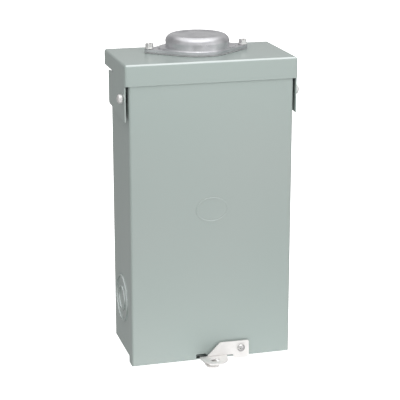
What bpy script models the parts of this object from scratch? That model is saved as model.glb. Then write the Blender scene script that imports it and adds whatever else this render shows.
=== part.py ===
"""Outdoor residential load center: a rainproof wall box with a lift-up cover and four plug-in breakers.

Metres, +Z up. The front faces -Y. The origin is the centre of the back wall's flat rear face, so the
plane Y = 0 is the wall that the box hangs on.
"""

from math import asin, cos, degrees, pi, radians, sin, tan

import bmesh
import bpy
from mathutils import Matrix, Vector

# ---- Driving dimensions -------------------------------------------------------------------------
SHEET = 0.0012  # steel thickness of the box, cover and hood
GAP = 0.0004  # clearance between pieces that touch
BEND = 0.0026  # outer radius of a folded edge
BEND_STEPS = 4

HOOD_TOP = 0.1651
HOOD_WIDTH = 0.1886
HOOD_FRONT = -0.1024
LIP_HEIGHT = 0.0227
HOOD_SIDE_HEIGHT = 0.0166
EAR_BOTTOM = 0.1044
EAR_BACK = -0.0200
EAR_FRONT = -0.0994
EAR_SLOPE = 0.0052  # how much higher an ear's lower edge is at its back
SLIT_HEIGHT = 0.0026  # the open wedge between an ear's rear corner and the side flange
SLIT_LENGTH = 0.0240

COVER_WIDTH = 0.1800
COVER_BOTTOM = -0.1700
COVER_TOP = 0.1480
COVER_FRONT = -0.1008
COVER_FLANGE = 0.0163

BOX_WIDTH = 0.1746
BOX_BOTTOM = -0.1678
BOX_TOP = 0.1619
BOX_FRONT = -0.0960
BOX_LIP = 0.0070
KNOCKOUT_Y = -0.0400
SIDE_KNOCKOUT_Z = -0.1105
KNOCKOUT_RAISE = 0.0014  # how far the half-sheared rings stand out of the side walls
KNOCKOUT_RINGS = ((0.0270, 0.0246), (0.0144, 0.0122))
BOTTOM_KNOCKOUT_X = 0.0450
BOTTOM_KNOCKOUT_RADIUS = 0.0170

PIVOT_Y = -0.0885
PIVOT_Z = 0.1275
PIVOT_CLEARANCE = 0.0270  # radius that the cover's top edge sweeps inside the box walls
PIVOT_SHANK = 0.0024
PIVOT_HEAD = 0.0050
PIVOT_HEAD_RISE = 0.0056

HUB_Y = -0.0410
HUB_SCREW_X = 0.0525
HUB_SCREW_Y = -0.0370
HUB_DOME_RADIUS = 0.0350
HUB_DOME_HEIGHT = 0.0195
GASKET = 0.0010
HUB_OPENING = 0.0270
SCREW_HOLE = 0.0027

LATCH_SHEET = 0.0015
LATCH_PIVOT_X = 0.0331
LATCH_PIVOT_Z = -0.1590
LATCH_BEND_Z = -0.1661
PADLOCK_HOLE_X = 0.0003
PADLOCK_HOLE_Y = -0.1138
PADLOCK_HOLE_RADIUS = 0.0050
TAB_NOSE_Y = -0.1256
TAB_SHOULDER_Y = -0.1050
TAB_MIDDLE_X = 0.0012
TAB_HALF = 0.0153
NOTCH_LEFT = -0.0178
NOTCH_RIGHT = 0.0240
NOTCH_TOP = -0.1630
NOTCH_CORNER = -0.0072  # right of this the notch's edge runs down, out of sight behind the hasp
NOTCH_STEP = (-0.0047, -0.1655)
DRAW_FOOT = (-0.0038, -0.1630)  # the cover is drawn in along a 45 degree line from here
DRAW_SPAN = ((-0.0075, 0), (-0.0030, 1), (0.0120, 1), (0.0190, 0))  # way along it, share of depth
DRAW_PROFILE = ((-0.0030, 0.0007), (0, 0.0007), (0.0012, 0.0005), (0.0026, 0.0002), (0.0044, 0))
STAPLE_RIVET_X = (-0.0065, 0.0105)
STAPLE_RIVET_Y = -0.0770
STAPLE_HALF = 0.0072
STAPLE_SHIFT = -0.0033  # the staple sits a little to the left of the hasp's hole
STAPLE_STEP_Y = (-0.0860, -0.0920)  # where the staple steps down, clear of the cover's flange
RIVET_HEAD = 0.0047
RIVET_HEAD_RISE = 0.0035
RIVET_SHANK = 0.0026

BREAKERS = 4
BREAKER_PITCH = 0.0254
BREAKER_TOP = 0.0310
BREAKER_BOTTOM = -0.0450
BREAKER_BACK = -0.0380
BREAKER_SHOULDER = -0.0800
BREAKER_NOSE = -0.0872
HANDLE_Y = -0.0790
HANDLE_Z = -0.0070
HANDLE_RADIUS = 0.0064
LOAD_SEAT = -0.0640
LOAD_Z = BREAKER_BOTTOM + 0.0060
HANDLE_TILT = radians(25)  # the handle at rest is thrown up, to ON

PAN_FACE = -0.0150
PAN_HALF_WIDTH = 0.0680
PAN_BOTTOM = -0.1250
PAN_TOP = 0.1250
DEADFRONT_Y = -0.0812
POST_Z = (-0.1130, 0.0960)
PAN_SCREW_X = 0.0735
PAN_SCREW_Z = 0.1000

SMALL_SHANK = 0.0021

# Derived levels
BOX_HALF = BOX_WIDTH / 2
BOX_INNER = BOX_HALF - SHEET
COVER_HALF = COVER_WIDTH / 2
HOOD_HALF = HOOD_WIDTH / 2
PAN_FRONT = PAN_FACE - GAP  # where a piece that rests on the pan starts
LATCH_BACK = COVER_FRONT - 0.0009
LATCH_FRONT = LATCH_BACK - LATCH_SHEET

FOUND = {}


# ---- Materials ----------------------------------------------------------------------------------
def material(name, colour, roughness, metallic=0.0):
    """One Principled material for a kind of finish, made once."""
    if name in FOUND:
        return FOUND[name]
    made = bpy.data.materials.new(name)
    made.use_nodes = True
    shader = made.node_tree.nodes["Principled BSDF"]
    shader.inputs["Base Color"].default_value = (*colour, 1.0)
    shader.inputs["Roughness"].default_value = roughness
    shader.inputs["Metallic"].default_value = metallic
    FOUND[name] = made
    return made


def enamel():
    return material("grey_enamel", (0.41, 0.47, 0.45), 0.38)


def zinc():
    return material("zinc_plate", (0.78, 0.79, 0.80), 0.30, 1.0)


def die_cast():
    return material("die_cast", (0.42, 0.43, 0.45), 0.45, 1.0)


def galvanised():
    return material("galvanised_steel", (0.60, 0.61, 0.62), 0.42, 1.0)


def phenolic():
    return material("black_phenolic", (0.02, 0.02, 0.022), 0.45)


def white_plastic():
    return material("white_plastic", (0.75, 0.75, 0.72), 0.5)


def grey_plastic():
    return material("grey_plastic", (0.12, 0.13, 0.14), 0.5)


def tin():
    return material("tinned_bus", (0.72, 0.71, 0.68), 0.32, 1.0)


def aluminium():
    return material("aluminium", (0.76, 0.77, 0.78), 0.35, 1.0)


def rubber():
    return material("black_rubber", (0.02, 0.02, 0.02), 0.85)


# ---- Outlines -----------------------------------------------------------------------------------
def arc(centre, radius, start, end, steps):
    """Points on an arc, angles in degrees, both ends included."""
    spread = [radians(start + (end - start) * i / steps) for i in range(steps + 1)]
    return [(centre[0] + radius * cos(a), centre[1] + radius * sin(a)) for a in spread]


def circle(centre, radius, steps):
    return arc(centre, radius, 0, 360, steps)[:-1]


def ellipse(centre, half_width, half_height, steps):
    ring = [2 * pi * i / steps for i in range(steps)]
    return [(centre[0] + half_width * cos(a), centre[1] + half_height * sin(a)) for a in ring]


def rectangle(low, high):
    return [(low[0], low[1]), (high[0], low[1]), (high[0], high[1]), (low[0], high[1])]


def rounded(path, radii, closed=True, steps=BEND_STEPS):
    """A path with its corners rounded. radii is one radius, or one for each point."""
    count = len(path)
    if isinstance(radii, (int, float)):
        radii = [radii] * count
    made = []
    for i, (point, radius) in enumerate(zip(path, radii)):
        is_end = not closed and i in (0, count - 1)
        if is_end or radius == 0:
            made.append(point)
            continue
        here = Vector(point)
        back = (Vector(path[i - 1]) - here).normalized()
        ahead = (Vector(path[(i + 1) % count]) - here).normalized()
        half = back.angle(ahead) / 2
        reach = radius / tan(half)
        middle = here + (back + ahead).normalized() * (radius / sin(half))
        start = here + back * reach - middle
        turn = start.angle_signed(here + ahead * reach - middle)
        for k in range(steps + 1):
            a = -turn * k / steps
            x = start.x * cos(a) - start.y * sin(a)
            y = start.x * sin(a) + start.y * cos(a)
            made.append((middle.x + x, middle.y + y))
    return made


def folded(path, thickness, bend=BEND):
    """The closed outline of a folded sheet whose outer face follows the path, metal on its left."""
    outer = [Vector(p) for p in rounded(path, bend, closed=False)]
    inner = []
    for i, point in enumerate(outer):
        before = (point - outer[i - 1]).normalized() if i else None
        after = (outer[i + 1] - point).normalized() if i + 1 < len(outer) else None
        directions = [d for d in (before, after) if d is not None]
        normals = [Vector((-d.y, d.x)) for d in directions]
        mean = sum(normals, Vector((0, 0))).normalized()
        inner.append(point + mean * thickness / mean.dot(normals[0]))
    return [tuple(p) for p in outer + inner[::-1]]


# ---- Solids -------------------------------------------------------------------------------------
PLACE = {
    "X": lambda u, v, h: (h, u, v),
    "Y": lambda u, v, h: (u, h, v),
    "Z": lambda u, v, h: (u, v, h),
}


def prism(outline, axis, start, end):
    """The outline, given in the other two axes in order, extruded along one axis."""
    place = PLACE[axis]
    mesh = bmesh.new()
    low = [mesh.verts.new(place(u, v, start)) for u, v in outline]
    high = [mesh.verts.new(place(u, v, end)) for u, v in outline]
    mesh.faces.new(low)
    mesh.faces.new(high[::-1])
    for i in range(len(outline)):
        j = (i + 1) % len(outline)
        mesh.faces.new((low[i], high[i], high[j], low[j]))
    bmesh.ops.recalc_face_normals(mesh, faces=mesh.faces)
    return mesh


def block(low, high):
    return prism(rectangle(low[:2], high[:2]), "Z", low[2], high[2])


def turned(profile, axis, centre, steps=20):
    """A solid turned about an axis, from a profile of (radius, height) that ends on it both ways."""
    place = PLACE[axis]
    u0, v0 = centre
    mesh = bmesh.new()
    rings = []
    for radius, height in profile:
        if radius == 0:
            rings.append([mesh.verts.new(place(u0, v0, height))])
        else:
            ring = circle((u0, v0), radius, steps)
            rings.append([mesh.verts.new(place(u, v, height)) for u, v in ring])
    for lower, upper in zip(rings, rings[1:]):
        for i in range(steps):
            j = (i + 1) % steps
            corners = [lower[i % len(lower)], lower[j % len(lower)]]
            corners += [upper[j % len(upper)], upper[i % len(upper)]]
            mesh.faces.new(list(dict.fromkeys(corners)))
    bmesh.ops.recalc_face_normals(mesh, faces=mesh.faces)
    return mesh


def tube(axis, centre, outer, inner, start, end, steps=20):
    """A plain ring, open through its middle."""
    place = PLACE[axis]
    mesh = bmesh.new()
    rings = []
    for radius, height in ((outer, start), (outer, end), (inner, end), (inner, start)):
        rings.append([mesh.verts.new(place(u, v, height)) for u, v in circle(centre, radius, steps)])
    for k in range(4):
        for i in range(steps):
            j = (i + 1) % steps
            mesh.faces.new((rings[k][i], rings[k][j], rings[k - 3][j], rings[k - 3][i]))
    bmesh.ops.recalc_face_normals(mesh, faces=mesh.faces)
    return mesh


def cylinder(axis, centre, radius, start, end, steps=20):
    return prism(circle(centre, radius, steps), axis, start, end)


def rounded_block(low, high, radius, edge_test):
    """A block with the edges that edge_test picks rounded. It gets each edge's middle and direction."""
    mesh = block(low, high)
    picked = []
    for edge in mesh.edges:
        start, end = (v.co for v in edge.verts)
        if edge_test((start + end) / 2, (end - start).normalized()):
            picked.append(edge)
    bmesh.ops.bevel(
        mesh, geom=picked, offset=radius, segments=BEND_STEPS, profile=0.5, affect="EDGES"
    )
    bmesh.ops.recalc_face_normals(mesh, faces=mesh.faces)
    return mesh


def together(*meshes):
    """Several closed bodies in one mesh, for cutters."""
    whole = bmesh.new()
    for part in meshes:
        moved = {v: whole.verts.new(v.co) for v in part.verts}
        for face in part.faces:
            whole.faces.new([moved[v] for v in face.verts])
        part.free()
    return whole


def placed(name, mesh, origin):
    """An object with its origin at the given point, for a mesh that is in world coordinates."""
    centre = Vector(origin)
    for vertex in mesh.verts:
        vertex.co -= centre
    data = bpy.data.meshes.new(name)
    mesh.to_mesh(data)
    mesh.free()
    made = bpy.data.objects.new(name, data)
    made.location = centre
    bpy.context.scene.collection.objects.link(made)
    return made


def node(name, mesh, finish, origin=(0, 0, 0), joins=(), cuts=()):
    """One sub-part: a mesh, then what is joined to it, then what is cut from it."""
    made = placed(name, mesh, origin)
    made.data.materials.append(finish)
    steps = [("UNION", tool) for tool in joins] + [("DIFFERENCE", tool) for tool in cuts]
    for i, (operation, tool) in enumerate(steps):
        helper = placed(f"{name}_tool_{i + 1}", tool, (0, 0, 0))
        helper.display_type = "WIRE"
        helper.hide_render = True
        change = made.modifiers.new(f"{operation.lower()}_{i + 1}", "BOOLEAN")
        change.operation = operation
        change.solver = "EXACT"
        change.object = helper
    made.data.shade_smooth()
    made.data.set_sharp_from_angle(angle=radians(32))
    return made


def sides():
    """The two sides of the box: a name and a sign."""
    return (("left", -1), ("right", 1))


# ---- Box ----------------------------------------------------------------------------------------
def enclosure_wrap():
    """Back and side walls, one sheet folded into a U with a narrow lip along each front edge."""
    lip = BOX_HALF - BOX_LIP
    path = [
        (lip, BOX_FRONT),
        (BOX_HALF, BOX_FRONT),
        (BOX_HALF, 0),
        (-BOX_HALF, 0),
        (-BOX_HALF, BOX_FRONT),
        (-lip, BOX_FRONT),
    ]
    walls = prism(folded(path, SHEET), "Z", BOX_BOTTOM, BOX_TOP)
    # The walls are cut back around the pivots, where the cover's top edge swings in.
    front = BOX_FRONT - 0.002
    reach = PIVOT_CLEARANCE
    start = -90 - degrees(asin((PIVOT_Y - front) / reach))
    relief = arc((PIVOT_Y, PIVOT_Z), reach, start, 0, 12)
    relief += [(PIVOT_Y + reach, BOX_TOP + 0.002), (front, BOX_TOP + 0.002)]
    width = BOX_HALF + 0.002
    holes = []
    for x, z in ((0, 0.1450), (-0.0600, -0.1480), (0.0600, -0.1480)):
        holes.append(cylinder("Y", (x, z), 0.0035, -0.003, 0.001, 20))
    for _, side in sides():
        centre = (side * PAN_SCREW_X, side * PAN_SCREW_Z)
        holes.append(cylinder("Y", centre, 0.0024, -0.003, 0.001, 16))
    rings = []
    for _, side in sides():
        face = side * (BOX_HALF - SHEET / 2)
        outside = side * (BOX_HALF + KNOCKOUT_RAISE)
        for outer, inner in KNOCKOUT_RINGS:
            rings.append(tube("X", (KNOCKOUT_Y, SIDE_KNOCKOUT_Z), outer, inner, face, outside, 44))
    return node(
        "enclosure_wrap",
        walls,
        enamel(),
        joins=(together(*rings),),
        cuts=(prism(relief, "X", -width, width), together(*holes)),
    )


def upright(middle, direction):
    """Picks the upright edges, which are rounded to fit inside the wrap's folds."""
    return abs(direction.z) > 0.5


def bottom_end_wall():
    """The bottom of the box, a pan welded inside the wrap, with two cable knockouts."""
    low = (-BOX_INNER + GAP, BOX_FRONT, BOX_BOTTOM)
    high = (BOX_INNER - GAP, -SHEET - GAP, BOX_BOTTOM + 0.0130)
    # It stops short of the wrap's front lips.
    front = BOX_FRONT + SHEET + GAP
    body = rounded_block((low[0], front, low[2]), high, BEND - SHEET + GAP, upright)
    hollow = block(
        (low[0] + SHEET, front - 0.001, low[2] + SHEET),
        (high[0] - SHEET, high[1] - SHEET, high[2] + 0.001),
    )
    # A shallow circular groove around each knockout.
    outer, inner = BOTTOM_KNOCKOUT_RADIUS + 0.0006, BOTTOM_KNOCKOUT_RADIUS - 0.0006
    low_end, high_end = BOX_BOTTOM - 0.001, BOX_BOTTOM + 0.00045
    rings = [
        tube("Z", (side * BOTTOM_KNOCKOUT_X, KNOCKOUT_Y), outer, inner, low_end, high_end, 28)
        for _, side in sides()
    ]
    rivets = [
        cylinder("Z", (x, STAPLE_RIVET_Y), 0.0022, BOX_BOTTOM - 0.001, BOX_BOTTOM + 0.003, 16)
        for x in STAPLE_RIVET_X
    ]
    return node("bottom_end_wall", body, enamel(), cuts=(hollow, *rings, together(*rivets)))


def top_end_wall():
    """The top of the box under the hood, with the opening that a raintight hub fits."""
    front = -0.0600
    shelf = BOX_TOP + GAP
    inner = BOX_INNER - GAP
    plate = block((-BOX_HALF, front, shelf), (BOX_HALF, 0, shelf + SHEET))
    # The welded flanges hang inside the wrap, and the plate lies on the wrap's upper edge.
    skirt = rounded_block(
        (-inner, front, 0.1500), (inner, -SHEET - GAP, shelf + 0.0005), BEND - SHEET + GAP, upright
    )
    hollow = block(
        (-inner + SHEET, front - 0.001, 0.1490), (inner - SHEET, -2 * SHEET - GAP, shelf)
    )
    cuts = (hollow, hub_cutter(HUB_OPENING))
    return node("top_end_wall", plate, enamel(), joins=(skirt,), cuts=cuts)


def rain_hood():
    """The rain hood: top, front lip, side flanges and the two ears that carry the cover."""
    inner = HOOD_HALF - SHEET

    lowest = EAR_BOTTOM - 0.002

    def folds(middle, direction):
        """The top's front and side edges, and the upright corners between lip and ears."""
        along_top = middle.z > PIVOT_Z and abs(direction.z) < 0.5 and middle.y < -0.001
        return along_top or (abs(direction.z) > 0.5 and middle.y < PIVOT_Y)

    outer = rounded_block((-HOOD_HALF, HOOD_FRONT, lowest), (HOOD_HALF, 0, HOOD_TOP), BEND, folds)
    hollow = rounded_block(
        (-inner, HOOD_FRONT + SHEET, lowest - 0.02),
        (inner, -0.0005, HOOD_TOP - SHEET),
        BEND - SHEET,
        folds,
    )
    open_back = block((-inner, -0.004, lowest - 0.01), (inner, 0.01, HOOD_TOP - SHEET))
    below_lip = block(
        (-COVER_WIDTH, HOOD_FRONT - 0.01, lowest - 0.02),
        (COVER_WIDTH, EAR_FRONT, HOOD_TOP - LIP_HEIGHT),
    )
    flange_bottom = HOOD_TOP - HOOD_SIDE_HEIGHT
    slit_end = EAR_BACK - SLIT_LENGTH
    around_ears = rounded(
        [
            (0.01, lowest - 0.01),
            (HOOD_FRONT - 0.01, lowest - 0.01),
            (HOOD_FRONT - 0.01, EAR_BOTTOM),
            (EAR_FRONT, EAR_BOTTOM),
            (EAR_BACK, EAR_BOTTOM + EAR_SLOPE),
            (EAR_BACK, flange_bottom - SLIT_HEIGHT),
            (slit_end, flange_bottom - 0.0006),
            (slit_end, flange_bottom),
            (0.01, flange_bottom),
        ],
        [0, 0, 0, 0, 0.003, 0, 0, 0, 0],
    )
    width = HOOD_HALF + 0.01
    holes = [
        cylinder("X", (PIVOT_Y, PIVOT_Z), PIVOT_SHANK + 0.0003, side * 0.09, side * 0.1, 24)
        for _, side in sides()
    ]
    return node(
        "rain_hood",
        outer,
        enamel(),
        cuts=(
            hollow,
            open_back,
            below_lip,
            prism(around_ears, "X", -width, width),
            together(*holes),
            hub_cutter(HUB_OPENING + 0.0020),
        ),
    )


# ---- Hub closing plate --------------------------------------------------------------------------
def hub_screw_holes():
    """Cutters for the two screw holes that the box, hood, gasket and closing plate share."""
    return [
        cylinder("Z", (side * HUB_SCREW_X, HUB_SCREW_Y), SCREW_HOLE, 0.14, 0.2, 16)
        for _, side in sides()
    ]


def hub_cutter(radius):
    """The hub's opening at the given radius, with the two screw holes beside it."""
    return together(cylinder("Z", (0, HUB_Y), radius, 0.14, 0.20, 32), *hub_screw_holes())


def hub_outline():
    """A round flange with a lug on each side, blended by straight shoulders."""
    lug = 0.0052
    flange = HUB_DOME_RADIUS + 0.0012
    right = arc((HUB_SCREW_X, HUB_SCREW_Y), lug, -65, 75, 8)
    left = arc((-HUB_SCREW_X, HUB_SCREW_Y), lug, 105, 245, 8)
    back = arc((0, HUB_Y), flange, 62, 118, 10)
    front = arc((0, HUB_Y), flange, 232, 308, 14)
    return right + back + left + front


def hub_gasket():
    """A flat rubber gasket between the closing plate and the hood."""
    low = HOOD_TOP + 0.0003
    return node(
        "hub_gasket",
        prism(hub_outline(), "Z", low, low + GASKET),
        rubber(),
        cuts=(hub_cutter(HUB_OPENING + 0.0020),),
    )


def hub_closing_plate():
    """A die-cast cap: flange with two lugs, and a hollow dome with a shoulder bead and a dished top."""
    base = HOOD_TOP + 0.0003 + GASKET + 0.0003
    top = HOOD_TOP + HUB_DOME_HEIGHT
    flange = 0.0030
    r = HUB_DOME_RADIUS
    rise = top - base
    profile = [(0, base), (r + 0.0014, base), (r + 0.0014, base + flange)]
    profile += arc((r + 0.0014, base + flange + 0.0018), 0.0018, 270, 200, 4)[1:]
    profile.append((r - 0.0004, base + 0.52 * rise))
    profile += arc((r - 0.0082, top - 0.0080), 0.0081, 2, 84, 8)
    profile += [(r - 0.0100, top - 0.0006), (r - 0.0125, top - 0.0012), (0, top - 0.0006)]
    wall = 0.0024
    cavity = [(0, base - 0.001), (r - 0.0050, base - 0.001), (r - 0.0050, top - 0.0080)]
    cavity += [(r - 0.0100, top - 0.0010 - wall), (0, top - 0.0010 - wall)]
    # The flange is thicker around the dome, and steps down to the lugs.
    reach = HUB_SCREW_X - 0.0095
    tier = prism(
        ellipse((0, HUB_Y + 0.0010), reach, r - 0.0060, 32), "Z", base + 0.001, base + flange + 0.0016
    )
    return node(
        "hub_closing_plate",
        prism(hub_outline(), "Z", base, base + flange),
        die_cast(),
        joins=(tier, turned(profile, "Z", (0, HUB_Y), 40)),
        cuts=(turned(cavity, "Z", (0, HUB_Y), 32), together(*hub_screw_holes())),
    )


def hub_screws():
    """Slotted hexagon screws with a washer face, one in each lug."""
    seat = HOOD_TOP + 0.0006 + GASKET + 0.0030 + 0.0003
    for name, side in sides():
        centre = (side * HUB_SCREW_X, HUB_SCREW_Y)
        hexagon = circle(centre, 0.0046, 6)
        shank = cylinder("Z", centre, 0.0021, seat - 0.0120, seat + 0.0005, 16)
        washer = cylinder("Z", centre, 0.0050, seat, seat + 0.0010, 24)
        slot = block(
            (centre[0] - 0.0006, centre[1] - 0.01, seat + 0.0044),
            (centre[0] + 0.0006, centre[1] + 0.01, seat + 0.01),
        )
        node(
            f"hub_screw_{name}",
            prism(hexagon, "Z", seat + 0.0008, seat + 0.0056),
            zinc(),
            joins=(washer, shank),
            cuts=(slot,),
        )


# ---- Cover --------------------------------------------------------------------------------------
def drawn_edge():
    """A cutter for the shallow slope that draws the sheet in beside the hasp's slanted end."""
    clear = 0.0010
    turn = Matrix.Rotation(radians(-45), 3, "Y")
    foot = Vector((DRAW_FOOT[0], COVER_FRONT, DRAW_FOOT[1]))
    wedge = bmesh.new()
    rings = []
    for along, share in DRAW_SPAN:
        section = [(DRAW_PROFILE[0][0], -clear)]
        section += [(across, depth * share - 0.0001) for across, depth in DRAW_PROFILE]
        section.append((DRAW_PROFILE[-1][0], -clear))
        points = [foot + turn @ Vector((along, depth, across)) for across, depth in section]
        rings.append([wedge.verts.new(point) for point in points])
    for near, far in zip(rings, rings[1:]):
        for i in range(len(near)):
            j = (i + 1) % len(near)
            wedge.faces.new((near[i], near[j], far[j], far[i]))
    wedge.faces.new(rings[0][::-1])
    wedge.faces.new(rings[-1])
    wedge.normal_update()
    bmesh.ops.recalc_face_normals(wedge, faces=wedge.faces)
    return wedge


def front_cover():
    """The cover: a shallow pan with side and bottom flanges, hung from the pivot screws."""
    inner = COVER_HALF - SHEET
    back = COVER_FRONT + COVER_FLANGE

    def front_folds(middle, direction):
        upright = abs(direction.z) > 0.5
        bottom = middle.z < 0 and abs(direction.x) > 0.5
        return middle.y < back - 0.001 and (upright or bottom)

    outer = rounded_block(
        (-COVER_HALF, COVER_FRONT, COVER_BOTTOM), (COVER_HALF, back, COVER_TOP), BEND, front_folds
    )
    hollow = rounded_block(
        (-inner, COVER_FRONT + SHEET, COVER_BOTTOM + SHEET),
        (inner, back + 0.01, COVER_TOP + 0.01),
        BEND - SHEET,
        lambda middle, direction: front_folds(middle, direction) and middle.y < COVER_FRONT + 0.004,
    )
    # The notch lets the padlock staple through behind the hasp, and a slot clears it in the flange.
    below = COVER_BOTTOM - 0.002
    cutout = [
        (NOTCH_LEFT, below),
        (NOTCH_LEFT, NOTCH_TOP),
        (NOTCH_CORNER, NOTCH_TOP),
        NOTCH_STEP,
        (NOTCH_RIGHT, NOTCH_STEP[1]),
        (NOTCH_RIGHT, below),
    ]
    notch = prism(cutout, "Y", COVER_FRONT - 0.002, COVER_FRONT + BEND)
    middle = PADLOCK_HOLE_X + STAPLE_SHIFT
    reach = STAPLE_HALF + 0.0012
    slot = block(
        (middle - reach, STAPLE_STEP_Y[1] - 0.0015, below),
        (middle + reach, back + 0.002, COVER_BOTTOM + 0.003),
    )
    holes = [
        cylinder("X", (PIVOT_Y, PIVOT_Z), PIVOT_SHANK + 0.0008, side * 0.08, side * 0.1, 24)
        for _, side in sides()
    ]
    rivet_hole = RIVET_SHANK + 0.0003
    latch_pivot = (LATCH_PIVOT_X, LATCH_PIVOT_Z)
    holes.append(cylinder("Y", latch_pivot, rivet_hole, COVER_FRONT - 0.001, -0.09, 24))
    medallion = (0, 0.0030)
    rim = prism(
        ellipse(medallion, 0.0180, 0.0135, 44), "Y", COVER_FRONT - 0.0005, COVER_FRONT + 0.0006
    )
    dish = prism(
        ellipse(medallion, 0.0168, 0.0123, 44), "Y", COVER_FRONT - 0.0010, COVER_FRONT - 0.0001
    )
    return node(
        "front_cover",
        outer,
        enamel(),
        origin=(0, PIVOT_Y, PIVOT_Z),
        joins=(rim,),
        cuts=(hollow, dish, drawn_edge(), notch, slot, together(*holes)),
    )


def pivot_hardware():
    """In each ear: a round-headed screw, a spacer outside the cover's flange and a nut inside it."""
    for name, side in sides():
        centre = (PIVOT_Y, PIVOT_Z)
        face = HOOD_HALF + 0.0003
        outer = side * (HOOD_HALF - SHEET - 0.0003)
        crown = face + PIVOT_HEAD_RISE
        head = [(0, crown), (0.45 * PIVOT_HEAD, crown - 0.0002)]
        head += [(0.83 * PIVOT_HEAD, crown - 0.0011), (PIVOT_HEAD, crown - 0.0024), (PIVOT_HEAD, face)]
        profile = head + [(PIVOT_SHANK, face), (PIVOT_SHANK, 0.0842), (0, 0.0842)]
        node(
            f"pivot_screw_{name}",
            turned([(r, side * x) for r, x in profile], "X", centre, 24),
            zinc(),
        )
        node(
            f"pivot_spacer_{name}",
            tube("X", centre, 0.0046, PIVOT_SHANK + 0.0003, side * (COVER_HALF + 0.0003), outer, 24),
            white_plastic(),
        )
        node(
            f"pivot_nut_{name}",
            prism(circle(centre, 0.0046, 6), "X", side * 0.0852, side * 0.0884),
            zinc(),
            cuts=(cylinder("X", centre, PIVOT_SHANK + 0.0003, side * 0.08, side * 0.1, 24),),
        )


# ---- Hasp and staple ----------------------------------------------------------------------------
def hasp_latch():
    """The hasp: a flat plate on one rivet, with a tab folded forward that takes the padlock."""
    plate = rounded(
        [
            (0.0093, COVER_BOTTOM + 0.0193),
            (0.0422, COVER_BOTTOM + 0.0190),
            (0.0426, COVER_BOTTOM - 0.0012),
            (0.0248, COVER_BOTTOM - 0.0012),
            (0.0243, LATCH_BEND_Z),
            (-0.0062, LATCH_BEND_Z),
        ],
        [0.0012, 0.0016, 0.0040, 0.0030, 0.0004, 0.0006],
    )
    body = prism(plate, "Y", LATCH_FRONT, LATCH_BACK)
    # The tab is wider than the plate's slanted end and rounds off at the front.
    tab = [(TAB_MIDDLE_X + TAB_HALF, LATCH_BACK), (TAB_MIDDLE_X - TAB_HALF, LATCH_BACK)]
    depth = TAB_SHOULDER_Y - TAB_NOSE_Y
    for i in range(17):
        turn = pi + pi * i / 16
        tab.append((TAB_MIDDLE_X + TAB_HALF * cos(turn), TAB_SHOULDER_Y + depth * sin(turn)))
    ear = prism(tab, "Z", LATCH_BEND_Z - LATCH_SHEET, LATCH_BEND_Z + 0.0001)
    # A groove coined along the bend, so that the tab folds square.
    groove = block(
        (-0.0080, LATCH_FRONT - 0.001, LATCH_BEND_Z + 0.0001),
        (TAB_MIDDLE_X + TAB_HALF - 0.0020, LATCH_FRONT + 0.0008, LATCH_BEND_Z + 0.0007),
    )
    holes = together(
        cylinder("Y", (LATCH_PIVOT_X, LATCH_PIVOT_Z), RIVET_SHANK + 0.0003, -0.11, -0.09, 24),
        cylinder("Z", (PADLOCK_HOLE_X, PADLOCK_HOLE_Y), PADLOCK_HOLE_RADIUS, -0.18, -0.15, 28),
    )
    pivot = (LATCH_PIVOT_X, LATCH_BACK, LATCH_PIVOT_Z)
    return node("hasp_latch", body, zinc(), origin=pivot, joins=(ear,), cuts=(holes, groove))


def hasp_rivet():
    """The round-headed shoulder rivet that the hasp turns on, clenched inside the cover."""
    face = LATCH_FRONT - 0.0003
    turns = [radians(90 - 15 * i) for i in range(7)]
    head = [(RIVET_HEAD * cos(a), face - RIVET_HEAD_RISE * sin(a)) for a in turns]
    head[0] = (0, face - RIVET_HEAD_RISE)
    inside = COVER_FRONT + SHEET + 0.0003
    tail = [(RIVET_SHANK, face), (RIVET_SHANK, inside), (0.0042, inside), (0.0036, inside + 0.0012)]
    profile = head + tail + [(0, inside + 0.0014)]
    return node("hasp_rivet", turned(profile, "Y", (LATCH_PIVOT_X, LATCH_PIVOT_Z), 24), zinc())


def padlock_staple():
    """The fixed half of the hasp: a stepped tab riveted under the box, with its own padlock hole."""
    high = BOX_BOTTOM - GAP
    low = COVER_BOTTOM - 0.0002
    middle = PADLOCK_HOLE_X + STAPLE_SHIFT
    half = STAPLE_HALF
    path = [(-0.0680, high), (STAPLE_STEP_Y[0], high), (STAPLE_STEP_Y[1], low), (PADLOCK_HOLE_Y, low)]
    strap = prism(folded(path, LATCH_SHEET, 0.0018), "X", middle - half, middle + half)
    nose = [(middle + half, PADLOCK_HOLE_Y + 0.0004), (middle - half, PADLOCK_HOLE_Y + 0.0004)]
    nose += arc((middle, PADLOCK_HOLE_Y - 0.0024), half, 180, 360, 10)
    tip = prism(nose, "Z", low - LATCH_SHEET, low)
    base = block((-0.0120, -0.0836, high - LATCH_SHEET), (0.0160, -0.0700, high))
    holes = [
        cylinder("Z", (x, STAPLE_RIVET_Y), 0.0022, -0.18, -0.15, 16) for x in STAPLE_RIVET_X
    ]
    holes.append(cylinder("Z", (middle + 0.0008, PADLOCK_HOLE_Y), 0.0048, -0.18, -0.15, 28))
    return node(
        "padlock_staple", strap, zinc(), joins=(tip, base), cuts=(together(*holes),)
    )


def staple_rivets():
    """Two solid rivets through the staple and the box's bottom."""
    under = BOX_BOTTOM - GAP - LATCH_SHEET - 0.0003
    above = BOX_BOTTOM + SHEET + 0.0003
    for (name, _), x in zip(sides(), STAPLE_RIVET_X):
        profile = [(0, under - 0.0012), (0.0026, under - 0.0009), (0.0034, under), (0.0019, under)]
        profile += [(0.0019, above), (0.0034, above), (0.0026, above + 0.0010), (0, above + 0.0012)]
        node(f"staple_rivet_{name}", turned(profile, "Z", (x, STAPLE_RIVET_Y), 20), zinc())


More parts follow.
